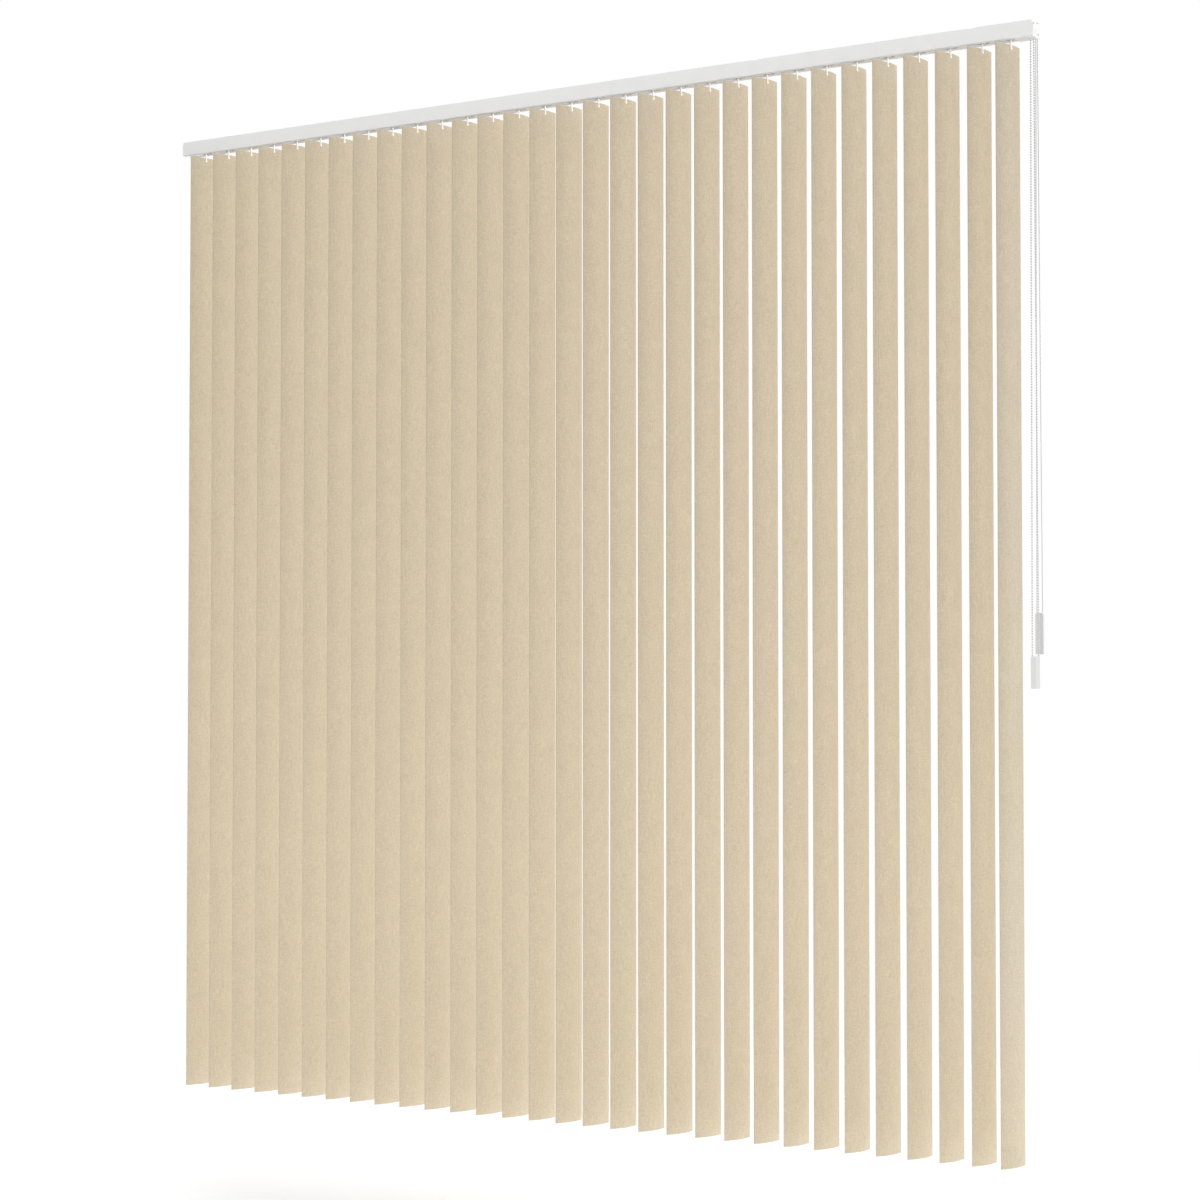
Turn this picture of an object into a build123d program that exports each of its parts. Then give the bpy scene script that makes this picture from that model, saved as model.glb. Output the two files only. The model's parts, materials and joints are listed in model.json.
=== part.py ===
from build123d import *
import os
from math import asin, cos, pi, radians, sin

# Vertical blind for a wide window: a ceiling-fixed headrail, a row of curved vanes that hang from
# geared carriers, a tilt rod driven by a bead chain, and a draw cord, each in a weighted loop.
# Millimetres. X runs along the headrail towards the control end, Y from the room to the window,
# Z up. The origin is the screw hole of the middle ceiling clip, at its top face.

# ---- driving dimensions ----
RAIL_LENGTH = 2520.0      # over both end caps
RAIL_WIDTH = 40.0
RAIL_HEIGHT = 36.0
RAIL_WALL = 1.3
RAIL_STRIP = 6.0          # height of the narrower band along the top of the rail
RAIL_STEP = 0.5           # how far that band is set in
RAIL_SLOT = 16.0          # slot that the stems pass through
RAIL_RIDGE = 1.2          # upstand along each edge of the slot
RAIL_LIP = 1.2            # lips that the ceiling clips hold
GROOVE_MOUTH = 29.4
GROOVE_DEPTH = 2.8
VANE_WIDTH = 89.0         # straight across the curve
VANE_LENGTH = 2520.0
VANE_SAGITTA = 9.0
VANE_THICKNESS = 0.8
VANE_OVERLAP = 9.0        # overlap of closed vanes
VANE_DROP = 10.0          # rail underside to the top of a vane
VANE_ANGLE = 77.0         # chord from +X towards +Y in the stored pose
HANGER_HOLE = 9.0         # below the top of the vane
HANGER_HOLE_R = 2.5
LAST_GAP_CUT = 10.0       # the last vane hangs this much nearer to its neighbour
END_PLATE = 2.5
CLIP_PLATE = 1.5
CLIP_LENGTH = 30.0
CLIP_INSET = 160.0        # outer clips from the ends of the rail
CLIP_HOLE_R = 2.25
CARRIER_LENGTH = 26.0
ROD_OFFSET = 6.6          # tilt rod to stem, centre to centre
ROD_HEIGHT = 16.2         # tilt rod above the ledges of the rail
ROD_SIDE = 3.4
WORM_R = 3.0
WORM_LENGTH = 14.0
STEM_R = 2.0
ROLLER_R = 4.0
ROLLER_WIDTH = 3.0
ROLLER_AXLE_R = 1.4
CORD_D = 2.2
CORD_HEIGHT = 24.2        # cord runs above the ledges of the rail
CORD_FRONT_Y = 7.2
CORD_REAR_Y = 15.4
CORD_INSET = 4.1          # hanging cord from the outer face of the control end
CORD_PULLEY_R = 5.5       # to the middle of the cord
CORD_WEIGHT_DROP = 1295.0  # rail underside to the top of the weight
CORD_WEIGHT_HEIGHT = 92.0
BEAD_D = 4.5
BEAD_PITCH = 6.0
CHAIN_INSET = 7.0         # hanging chain from the outer face of the control end
CHAIN_WEIGHT_DROP = 1392.0
CHAIN_WEIGHT_HEIGHT = 72.0
CHAIN_WEIGHT_TURN = 62.0  # weight's broad side, from facing along the rail
LOOP_WHEEL_R = 7.0        # wheel in a weight, to the middle of what runs on it
LOOP_WHEEL_DEPTH = 20.0   # wheel below the top of its weight
WEIGHT_WIDTH = 21.0
WEIGHT_EDGE = 3.2         # half thickness at the edges
WEIGHT_RIDGE = 7.0        # half thickness at the middle
RUN_FIT = 0.06            # radial clearance of a shaft in its bearing
CLEAR = 0.3               # clearance of moving pieces from their neighbours
SLIP = 0.2                # clearance of a moulding in the rail

# ---- heights and ends ----
RAIL_TOP = -CLIP_PLATE
RAIL_BOTTOM = RAIL_TOP - RAIL_HEIGHT
RAIL_END = RAIL_LENGTH / 2 - END_PLATE
CAP_END = RAIL_LENGTH / 2
INNER_Y = RAIL_WIDTH / 2 - RAIL_WALL
LEDGE = RAIL_BOTTOM + RAIL_WALL
STRIP_BOTTOM = RAIL_TOP - RAIL_STRIP
GROOVE_TOP = RAIL_TOP - RAIL_LIP
GROOVE_FLOOR = GROOVE_TOP - GROOVE_DEPTH
ROOF = GROOVE_FLOOR - RAIL_WALL
ROD_Y = -ROD_OFFSET
ROD_Z = LEDGE + ROD_HEIGHT
CORD_Z = LEDGE + CORD_HEIGHT
CORD_R = CORD_D / 2
BEAD_R = BEAD_D / 2
VANE_TOP = RAIL_BOTTOM - VANE_DROP

# ---- vane row ----
FIRST_MARGIN = VANE_WIDTH / 2 + 23.0
LAST_MARGIN = VANE_WIDTH / 2 + 18.0
NOMINAL_PITCH = VANE_WIDTH - VANE_OVERLAP
LAST_GAP = NOMINAL_PITCH - LAST_GAP_CUT
FIRST_X = -CAP_END + FIRST_MARGIN
LAST_X = CAP_END - LAST_MARGIN
EVEN_GAPS = round((LAST_X - LAST_GAP - FIRST_X) / NOMINAL_PITCH)
PITCH = (LAST_X - LAST_GAP - FIRST_X) / EVEN_GAPS
VANE_X = [FIRST_X + PITCH * i for i in range(EVEN_GAPS + 1)] + [LAST_X]

# ---- control end ----
CHAIN_X = CAP_END - CHAIN_INSET
SPROCKET_ROOM = min(INNER_Y - ROD_OFFSET - 0.9, ROOF - SLIP - 1.4 - ROD_Z) - BEAD_R
SPROCKET_POCKETS = int(2 * pi * SPROCKET_ROOM / BEAD_PITCH)
SPROCKET_R = SPROCKET_POCKETS * BEAD_PITCH / (2 * pi)
SPROCKET_HALF = BEAD_R + 1.15
FLANGE = 0.9
JOURNAL_R = 3.0
CORD_X = CAP_END - CORD_INSET
CORD_Y = (CORD_FRONT_Y + CORD_REAR_Y) / 2
PULLEY_X = CORD_X - CORD_PULLEY_R
PULLEY_Z = CORD_Z - CORD_PULLEY_R
PULLEY_FLANGE_R = CORD_PULLEY_R + CORD_R
PULLEY_HALF = CORD_R + 0.7
PIN_R = 1.5
CONTROL_START = LAST_X + CARRIER_LENGTH / 2 + 2.5
BEARING_WALL = (PULLEY_X - PULLEY_FLANGE_R - 3.4, PULLEY_X - PULLEY_FLANGE_R - 0.6)
SADDLE_BOTTOM = RAIL_BOTTOM - 2.0
RIB_Y = (CORD_FRONT_Y + PULLEY_HALF + CLEAR, CORD_REAR_Y - PULLEY_HALF - CLEAR)
COVER_SCREWS = [(-INNER_Y + 2.9, LEDGE + 26.2), (CORD_Y, LEDGE + 5.5)]
SCREW_R = 1.1
SCREW_LENGTH = 8.0
PULLEY_GROOVE_R = CORD_PULLEY_R - CORD_R - CLEAR

# ---- return end ----
RETURN_X = -CAP_END + 15.0
RETURN_R = (CORD_REAR_Y - CORD_FRONT_Y) / 2
PLUG_LENGTH = 25.5
PLUG_WALL = 1.5

os.makedirs("parts", exist_ok=True)


def save(solid, name):
    """Label a finished piece and write it to its own file."""
    solid.label = name
    export_step(solid, f"parts/{name}.step")


def block(x, y, z, mode=Mode.ADD):
    """Box between two limits along each axis."""
    with Locations(((x[0] + x[1]) / 2, (y[0] + y[1]) / 2, (z[0] + z[1]) / 2)):
        Box(x[1] - x[0], y[1] - y[0], z[1] - z[0], mode=mode)


def round_x(radius, x, y, z, mode=Mode.ADD):
    """Round bar or hole along X between two limits."""
    with Locations(Location(((x[0] + x[1]) / 2, y, z), (0, 90, 0))):
        Cylinder(radius, x[1] - x[0], mode=mode)


def round_y(radius, x, y, z, mode=Mode.ADD):
    """Round bar or hole along Y between two limits."""
    with Locations(Location((x, (y[0] + y[1]) / 2, z), (90, 0, 0))):
        Cylinder(radius, y[1] - y[0], mode=mode)


def round_z(radius, x, y, z, mode=Mode.ADD):
    """Round bar or hole along Z between two limits."""
    with Locations((x, y, (z[0] + z[1]) / 2)):
        Cylinder(radius, z[1] - z[0], mode=mode)


def spool(groove_r, flange_r, half, groove_half, bore_r):
    """Grooved wheel about Z at the origin, for a cord or a chain."""
    with BuildPart() as wheel:
        with BuildSketch(Plane.XZ):
            with BuildLine():
                Polyline(
                    (bore_r, -half),
                    (flange_r, -half),
                    (flange_r, -groove_half - 0.1),
                    (groove_r, -groove_half + 0.2),
                    (groove_r, groove_half - 0.2),
                    (flange_r, groove_half + 0.1),
                    (flange_r, half),
                    (bore_r, half),
                    close=True,
                )
            make_face()
        revolve(axis=Axis.Z)
    return wheel.part


def tube(points, radii, diameter):
    """Round cord along straight runs that are joined by tangent arcs."""
    with BuildPart() as cord:
        with BuildLine() as route:
            FilletPolyline(*points, radius=radii)
        start = route.wires()[0]
        with BuildSketch(Plane(start @ 0, z_dir=start % 0)):
            Circle(diameter / 2)
        sweep(path=start)
    section = pi * diameter**2 / 4
    share = cord.part.volume / (section * start.length)
    print(f"cord {start.length:.1f} mm, arcs {[round(r, 2) for r in radii]}, volume share {share:.4f}")
    return cord.part


# ---- headrail: folded aluminium channel with a groove on top and a slot below ----
with BuildPart() as headrail:
    with BuildSketch(Plane.YZ.offset(-RAIL_END)):
        with Locations((0, (RAIL_BOTTOM + STRIP_BOTTOM) / 2)):
            Rectangle(RAIL_WIDTH, STRIP_BOTTOM - RAIL_BOTTOM)
        with Locations((0, (RAIL_TOP + STRIP_BOTTOM) / 2)):
            Rectangle(RAIL_WIDTH - 2 * RAIL_STEP, RAIL_STRIP)
        with Locations((0, (LEDGE + ROOF) / 2)):
            Rectangle(2 * INNER_Y, ROOF - LEDGE, mode=Mode.SUBTRACT)
        with Locations((0, (GROOVE_TOP + GROOVE_FLOOR) / 2)):
            Rectangle(RAIL_WIDTH - 2 * RAIL_STEP - 2 * RAIL_LIP, GROOVE_DEPTH, mode=Mode.SUBTRACT)
        with Locations((0, (RAIL_TOP + GROOVE_TOP) / 2)):
            Rectangle(GROOVE_MOUTH, RAIL_LIP, mode=Mode.SUBTRACT)
        with Locations(*[(side * (RAIL_SLOT + RAIL_RIDGE) / 2, LEDGE) for side in (-1, 1)]):
            Rectangle(RAIL_RIDGE, 2 * RAIL_RIDGE)
        with Locations((0, RAIL_BOTTOM)):
            Rectangle(RAIL_SLOT, 4 * RAIL_WALL, mode=Mode.SUBTRACT)
    extrude(amount=2 * RAIL_END)
    lower = headrail.edges().filter_by(Axis.X).group_by(Axis.Z)[0].sort_by(Axis.Y)
    fillet([lower[0], lower[-1]], RAIL_WALL / 2)
    block(
        (CONTROL_START - SLIP, RAIL_END),
        (-INNER_Y, INNER_Y),
        (RAIL_BOTTOM, LEDGE + RAIL_RIDGE),
        mode=Mode.SUBTRACT,
    )
save(headrail.part, "headrail")

# ---- ceiling clips: slid into the groove of the rail and screwed up through their middle ----
CLIP_PITCH = (RAIL_LENGTH / 2 - CLIP_INSET) / 2
with BuildPart() as ceiling_clip:
    clip_x = (-CLIP_LENGTH / 2, CLIP_LENGTH / 2)
    block(clip_x, (-17.0, 17.0), (RAIL_TOP, 0))
    block(clip_x, (-GROOVE_MOUTH / 2 + SLIP, GROOVE_MOUTH / 2 - SLIP), (GROOVE_TOP - SLIP, RAIL_TOP))
    block(clip_x, (-17.5, 17.5), (GROOVE_TOP - SLIP - CLIP_PLATE, GROOVE_TOP - SLIP))
    round_z(CLIP_HOLE_R, 0, 0, (-GROOVE_DEPTH - 5, 1), mode=Mode.SUBTRACT)
with BuildPart() as ceiling_clips:
    with Locations(*[(CLIP_PITCH * i, 0, 0) for i in range(-2, 3)]):
        add(ceiling_clip.part)
save(ceiling_clips.part, "ceiling_clips")

# ---- carriers: geared boxes that run on the ledges of the rail ----
ROLLER_Y = INNER_Y - 5.0
CARRIER_FRONT = max(ROD_Y - WORM_R - CLEAR - 1.9, ROLLER_WIDTH / 2 - ROLLER_Y + 0.2)
CARRIER_BACK = 9.0
CARRIER_TOP = ROD_Z + WORM_R + CLEAR + 2.2
CARRIER_BOTTOM = LEDGE + RAIL_RIDGE + CLEAR
PINION_R = ROD_OFFSET - WORM_R - 0.4
PINION_HALF = 2.4
ROLLER_Z = LEDGE + ROLLER_R + 0.1
LINK_TIERS = (5.9, 7.5)
LINK_THICKNESS = 0.6
LINK_Z = (LEDGE + 6.0, LEDGE + 11.0)
LINK_REACH = 10.0
with BuildPart() as carrier:
    half = CARRIER_LENGTH / 2
    block((-half, half), (CARRIER_FRONT, CARRIER_BACK), (CARRIER_BOTTOM, CARRIER_TOP))
    fillet(carrier.edges().filter_by(Axis.Z), 1.2)
    block((-6, 6), (-RAIL_SLOT / 2 + 2, RAIL_SLOT / 2 - 2), (RAIL_BOTTOM + 0.4, CARRIER_BOTTOM))
    for x in (-half + 5, half - 5):
        round_y(ROLLER_AXLE_R, x, (-ROLLER_Y - ROLLER_WIDTH / 2, ROLLER_Y + ROLLER_WIDTH / 2), ROLLER_Z)
        round_y(2.2, x, (-ROLLER_Y + ROLLER_WIDTH / 2 + 0.2, ROLLER_Y - ROLLER_WIDTH / 2 - 0.2), ROLLER_Z)
    round_x(WORM_R + CLEAR, (-half - 1, half + 1), ROD_Y, ROD_Z, mode=Mode.SUBTRACT)
    pinion_room = (ROD_Z - PINION_HALF - 0.2, ROD_Z + PINION_HALF + 0.2)
    round_z(PINION_R + CLEAR, 0, 0, pinion_room, mode=Mode.SUBTRACT)
    round_z(STEM_R + RUN_FIT, 0, 0, (RAIL_BOTTOM - 1, ROD_Z), mode=Mode.SUBTRACT)
    link_room = (LINK_TIERS[0] - LINK_THICKNESS, LINK_TIERS[1] + LINK_THICKNESS)
    link_height = (LINK_Z[0] - SLIP, LINK_Z[1] + SLIP)
    block((-half - 1, half + 1), link_room, link_height, mode=Mode.SUBTRACT)
with BuildPart() as carriers:
    with Locations(*[(x, 0, 0) for x in VANE_X]):
        add(carrier.part)
save(carriers.part, "carriers")

with BuildPart() as roller:
    with Locations(Location((0, 0, 0), (90, 0, 0))):
        Cylinder(ROLLER_R, ROLLER_WIDTH)
        Cylinder(ROLLER_AXLE_R + RUN_FIT, ROLLER_WIDTH + 2, mode=Mode.SUBTRACT)
with BuildPart() as carrier_rollers:
    with Locations(
        *[
            (x + dx, side * ROLLER_Y, ROLLER_Z)
            for x in VANE_X
            for dx in (-CARRIER_LENGTH / 2 + 5, CARRIER_LENGTH / 2 - 5)
            for side in (-1, 1)
        ]
    ):
        add(roller.part)
save(carrier_rollers.part, "carrier_rollers")

# ---- spacer links: thin strips that set the distance between two carriers ----
with BuildPart() as spacer_links:
    for index, (left, right) in enumerate(zip(VANE_X, VANE_X[1:])):
        tier = LINK_TIERS[index % 2]
        block(
            (left - LINK_REACH, right + LINK_REACH),
            (tier - LINK_THICKNESS / 2, tier + LINK_THICKNESS / 2),
            LINK_Z,
        )
save(spacer_links.part, "spacer_links")

# ---- tilt rod, its worms and the chain sprocket ----
with BuildPart() as tilt_rod:
    block(
        (RETURN_X - 4, CHAIN_X - 0.5),
        (ROD_Y - ROD_SIDE / 2, ROD_Y + ROD_SIDE / 2),
        (ROD_Z - ROD_SIDE / 2, ROD_Z + ROD_SIDE / 2),
    )
    round_x(ROD_SIDE / 2 - 0.05, (-RAIL_END + 0.5, RETURN_X - 4), ROD_Y, ROD_Z)
save(tilt_rod.part, "tilt_rod")

with BuildPart() as worm:
    round_x(WORM_R, (-WORM_LENGTH / 2, WORM_LENGTH / 2), ROD_Y, ROD_Z)
    block(
        (-WORM_LENGTH, WORM_LENGTH),
        (ROD_Y - ROD_SIDE / 2 - 0.1, ROD_Y + ROD_SIDE / 2 + 0.1),
        (ROD_Z - ROD_SIDE / 2 - 0.1, ROD_Z + ROD_SIDE / 2 + 0.1),
        mode=Mode.SUBTRACT,
    )
with BuildPart() as worms:
    with Locations(*[(x, 0, 0) for x in VANE_X]):
        add(worm.part)
save(worms.part, "worms")

with BuildPart() as chain_sprocket:
    sprocket_x = (CHAIN_X - SPROCKET_HALF, CHAIN_X + SPROCKET_HALF)
    flange_r = SPROCKET_R + 1.4
    round_x(SPROCKET_R - BEAD_R - CLEAR, sprocket_x, ROD_Y, ROD_Z)
    round_x(flange_r, (sprocket_x[0], sprocket_x[0] + FLANGE), ROD_Y, ROD_Z)
    round_x(flange_r, (sprocket_x[1] - FLANGE, sprocket_x[1]), ROD_Y, ROD_Z)
    round_x(JOURNAL_R, (BEARING_WALL[0], sprocket_x[0]), ROD_Y, ROD_Z)
    round_x(2.0, (sprocket_x[1], RAIL_END + 1.2), ROD_Y, ROD_Z)
    block(
        (BEARING_WALL[0], CHAIN_X),
        (ROD_Y - ROD_SIDE / 2 - 0.1, ROD_Y + ROD_SIDE / 2 + 0.1),
        (ROD_Z - ROD_SIDE / 2 - 0.1, ROD_Z + ROD_SIDE / 2 + 0.1),
        mode=Mode.SUBTRACT,
    )
save(chain_sprocket.part, "chain_sprocket")

# ---- control housing: fills the notched end of the rail, open towards its cover ----
HOUSING_Y = INNER_Y - SLIP
HOUSING_TOP = ROOF - SLIP
WINDOW = (LEDGE + 0.5, HOUSING_TOP - 1.4)
with BuildPart() as control_housing:
    block((CONTROL_START, RAIL_END), (-HOUSING_Y, HOUSING_Y), (SADDLE_BOTTOM, HOUSING_TOP))
    block((CONTROL_START, RAIL_END), (-RAIL_WIDTH / 2, RAIL_WIDTH / 2), (SADDLE_BOTTOM, RAIL_BOTTOM - 0.1))
    block(
        (CONTROL_START - 1, BEARING_WALL[0]),
        (-HOUSING_Y + PLUG_WALL, HOUSING_Y - PLUG_WALL),
        WINDOW,
        mode=Mode.SUBTRACT,
    )
    block(
        (BEARING_WALL[1], RAIL_END + 1),
        (-HOUSING_Y + 0.8, HOUSING_Y - 0.8),
        WINDOW,
        mode=Mode.SUBTRACT,
    )
    block((BEARING_WALL[0], RAIL_END), RIB_Y, (SADDLE_BOTTOM, PULLEY_Z + 6))
    post_y, post_z = COVER_SCREWS[0]
    block((BEARING_WALL[0], RAIL_END), (-HOUSING_Y, post_y + 1.5), (post_z - 2.0, HOUSING_TOP))
    for y, z in COVER_SCREWS:
        round_x(SCREW_R, (RAIL_END - SCREW_LENGTH, RAIL_END + 1), y, z, mode=Mode.SUBTRACT)
    round_x(JOURNAL_R + RUN_FIT, (CONTROL_START, BEARING_WALL[1] + 1), ROD_Y, ROD_Z, mode=Mode.SUBTRACT)
    round_y(PIN_R, PULLEY_X, (RIB_Y[0] - 1, HOUSING_Y + 1), PULLEY_Z, mode=Mode.SUBTRACT)
    for y in (CORD_FRONT_Y, CORD_REAR_Y):
        round_x(CORD_R + 0.7, (CONTROL_START, BEARING_WALL[1] + 1), y, CORD_Z, mode=Mode.SUBTRACT)
        block(
            (CORD_X - CORD_R - 0.6, RAIL_END + 1),
            (y - CORD_R - 0.5, y + CORD_R + 0.5),
            (SADDLE_BOTTOM - 1, LEDGE + 1),
            mode=Mode.SUBTRACT,
        )
    for y in (ROD_Y - SPROCKET_R, ROD_Y + SPROCKET_R):
        block(
            (CHAIN_X - BEAD_R - 0.5, CHAIN_X + BEAD_R + 0.5),
            (y - BEAD_R - 0.4, y + BEAD_R + 0.4),
            (SADDLE_BOTTOM - 1, LEDGE + 1),
            mode=Mode.SUBTRACT,
        )
    lower = control_housing.edges().filter_by(Axis.X).group_by(Axis.Z)[0].sort_by(Axis.Y)
    fillet([lower[0], lower[-1]], 1.2)
save(control_housing.part, "control_housing")

with BuildPart() as control_cover:
    with BuildSketch(Plane.YZ.offset(RAIL_END)):
        with Locations((0, (SADDLE_BOTTOM + STRIP_BOTTOM) / 2)):
            RectangleRounded(RAIL_WIDTH, STRIP_BOTTOM - SADDLE_BOTTOM, 1.2)
    extrude(amount=END_PLATE)
    chamfer(control_cover.faces().sort_by(Axis.X)[-1].edges(), 0.5)
    round_x(2.0 + RUN_FIT, (RAIL_END - 1, RAIL_END + 1.4), ROD_Y, ROD_Z, mode=Mode.SUBTRACT)
    for y, z in COVER_SCREWS:
        round_x(SCREW_R + 0.1, (RAIL_END - 1, CAP_END + 1), y, z, mode=Mode.SUBTRACT)
        round_x(2.3, (CAP_END - 1.2, CAP_END + 1), y, z, mode=Mode.SUBTRACT)
save(control_cover.part, "control_cover")

with BuildPart() as cover_screws:
    for y, z in COVER_SCREWS:
        round_x(2.2, (CAP_END - 1.2, CAP_END - 0.1), y, z)
        round_x(SCREW_R, (RAIL_END - SCREW_LENGTH + 0.5, CAP_END - 1.2), y, z)
        with Locations((CAP_END, y, z)):
            Box(1.2, 0.6, 3.4, mode=Mode.SUBTRACT)
save(cover_screws.part, "cover_screws")

# ---- pulleys of the draw cord ----
cord_spool = spool(PULLEY_GROOVE_R, PULLEY_FLANGE_R, PULLEY_HALF, CORD_R + 0.1, PIN_R + RUN_FIT)
for name, y in (("cord_pulley_front", CORD_FRONT_Y), ("cord_pulley_rear", CORD_REAR_Y)):
    save(cord_spool.moved(Location((PULLEY_X, y, PULLEY_Z), (90, 0, 0))), name)

with BuildPart() as cord_pulley_pin:
    round_y(PIN_R, PULLEY_X, (CORD_FRONT_Y - PULLEY_HALF - 0.2, HOUSING_Y), PULLEY_Z)
    head = (CORD_FRONT_Y - PULLEY_HALF - 0.8, CORD_FRONT_Y - PULLEY_HALF - 0.2)
    round_y(2.2, PULLEY_X, head, PULLEY_Z)
save(cord_pulley_pin.part, "cord_pulley_pin")

return_groove_r = RETURN_R - CORD_R - CLEAR
return_spool = spool(return_groove_r, RETURN_R + CORD_R, PULLEY_HALF, CORD_R + 0.1, PIN_R + RUN_FIT)
save(return_spool.moved(Location((RETURN_X, CORD_Y, CORD_Z))), "return_pulley")

SHELF = (CORD_Z - PULLEY_HALF - 2.8, CORD_Z - PULLEY_HALF - 0.6)
with BuildPart() as return_pulley_pin:
    round_z(PIN_R, RETURN_X, CORD_Y, (SHELF[0], HOUSING_TOP))
save(return_pulley_pin.part, "return_pulley_pin")

# ---- return end cap: closes the far end and carries the return pulley and the rod ----
with BuildPart() as return_end_cap:
    with BuildSketch(Plane.YZ.offset(-CAP_END)):
        with Locations((0, (RAIL_BOTTOM + STRIP_BOTTOM) / 2)):
            RectangleRounded(RAIL_WIDTH, STRIP_BOTTOM - RAIL_BOTTOM, 1.2)
    extrude(amount=END_PLATE)
    chamfer(return_end_cap.faces().sort_by(Axis.X)[0].edges(), 0.5)
    plug_x = (-RAIL_END, -RAIL_END + PLUG_LENGTH)
    plug_bottom = LEDGE + RAIL_RIDGE + SLIP
    block(plug_x, (-HOUSING_Y, HOUSING_Y), (plug_bottom, HOUSING_TOP))
    block(
        (plug_x[0], plug_x[1] + 1),
        (-HOUSING_Y + PLUG_WALL, HOUSING_Y - PLUG_WALL),
        (plug_bottom + PLUG_WALL, HOUSING_TOP - PLUG_WALL),
        mode=Mode.SUBTRACT,
    )
    block((plug_x[0], RETURN_X + 9), (CORD_FRONT_Y - 2, HOUSING_Y - 1), SHELF)
    round_x(3.4, (plug_x[0], RETURN_X - 5), ROD_Y, ROD_Z)
    round_x(ROD_SIDE / 2 - 0.05 + RUN_FIT, (plug_x[0], RETURN_X), ROD_Y, ROD_Z, mode=Mode.SUBTRACT)
    round_z(PIN_R, RETURN_X, CORD_Y, (SHELF[0] - 1, HOUSING_TOP + 1), mode=Mode.SUBTRACT)
save(return_end_cap.part, "return_end_cap")

# ---- draw cord inside the rail, from the clamp on the last carrier round both ends ----
CLAMP_HALF = 6.0
with BuildPart() as cord_clamp:
    block(
        (LAST_X - CLAMP_HALF, LAST_X + CLAMP_HALF),
        (CORD_FRONT_Y - 2.5, CARRIER_BACK - 0.2),
        (CARRIER_TOP, CORD_Z + 2.3),
    )
    fillet(cord_clamp.edges().filter_by(Axis.Z), 0.8)
save(cord_clamp.part, "cord_clamp")

short_side = tube(
    [
        (LAST_X + CLAMP_HALF, CORD_FRONT_Y, CORD_Z),
        (CORD_X, CORD_FRONT_Y, CORD_Z),
        (CORD_X, CORD_FRONT_Y, SADDLE_BOTTOM),
    ],
    [CORD_PULLEY_R],
    CORD_D,
)
long_side = tube(
    [
        (LAST_X - CLAMP_HALF, CORD_FRONT_Y, CORD_Z),
        (RETURN_X - RETURN_R, CORD_FRONT_Y, CORD_Z),
        (RETURN_X - RETURN_R, CORD_REAR_Y, CORD_Z),
        (CORD_X, CORD_REAR_Y, CORD_Z),
        (CORD_X, CORD_REAR_Y, SADDLE_BOTTOM),
    ],
    [RETURN_R - 0.05, RETURN_R - 0.05, CORD_PULLEY_R],
    CORD_D,
)
save(Compound(children=[short_side, long_side]), "draw_cord_in_rail")

# ---- hanging loops: straight down, half round the wheel in the weight, and back up ----
LOOP_START = SADDLE_BOTTOM - 0.05
CORD_WHEEL_Z = RAIL_BOTTOM - CORD_WEIGHT_DROP - LOOP_WHEEL_DEPTH
CHAIN_WHEEL_Z = RAIL_BOTTOM - CHAIN_WEIGHT_DROP - LOOP_WHEEL_DEPTH
TURN_X = LOOP_WHEEL_R * sin(radians(CHAIN_WEIGHT_TURN))
TURN_Y = LOOP_WHEEL_R * cos(radians(CHAIN_WEIGHT_TURN))
cord_loop = tube(
    [
        (CORD_X, CORD_FRONT_Y, LOOP_START),
        (CORD_X - LOOP_WHEEL_R, CORD_Y, CORD_WHEEL_Z - LOOP_WHEEL_R),
        (CORD_X + LOOP_WHEEL_R, CORD_Y, CORD_WHEEL_Z - LOOP_WHEEL_R),
        (CORD_X, CORD_REAR_Y, LOOP_START),
    ],
    [0.985 * LOOP_WHEEL_R, 0.985 * LOOP_WHEEL_R],
    CORD_D,
)
save(cord_loop, "draw_cord_loop")

chain_loop = tube(
    [
        (CHAIN_X, ROD_Y - SPROCKET_R, LOOP_START),
        (CHAIN_X - TURN_X, ROD_Y - TURN_Y, CHAIN_WHEEL_Z - LOOP_WHEEL_R),
        (CHAIN_X + TURN_X, ROD_Y + TURN_Y, CHAIN_WHEEL_Z - LOOP_WHEEL_R),
        (CHAIN_X, ROD_Y + SPROCKET_R, LOOP_START),
    ],
    [0.985 * LOOP_WHEEL_R, 0.985 * LOOP_WHEEL_R],
    BEAD_D,
)
save(chain_loop, "bead_chain_loop")

chain_wrap = tube(
    [
        (CHAIN_X, ROD_Y - SPROCKET_R, SADDLE_BOTTOM),
        (CHAIN_X, ROD_Y - SPROCKET_R, ROD_Z + SPROCKET_R),
        (CHAIN_X, ROD_Y + SPROCKET_R, ROD_Z + SPROCKET_R),
        (CHAIN_X, ROD_Y + SPROCKET_R, SADDLE_BOTTOM),
    ],
    [SPROCKET_R - 0.05, SPROCKET_R - 0.05],
    BEAD_D,
)
save(chain_wrap, "bead_chain_on_sprocket")

# ---- loop weights: two clipped shells round a wheel ----
WEIGHT_PIN_R = 1.8


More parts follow.
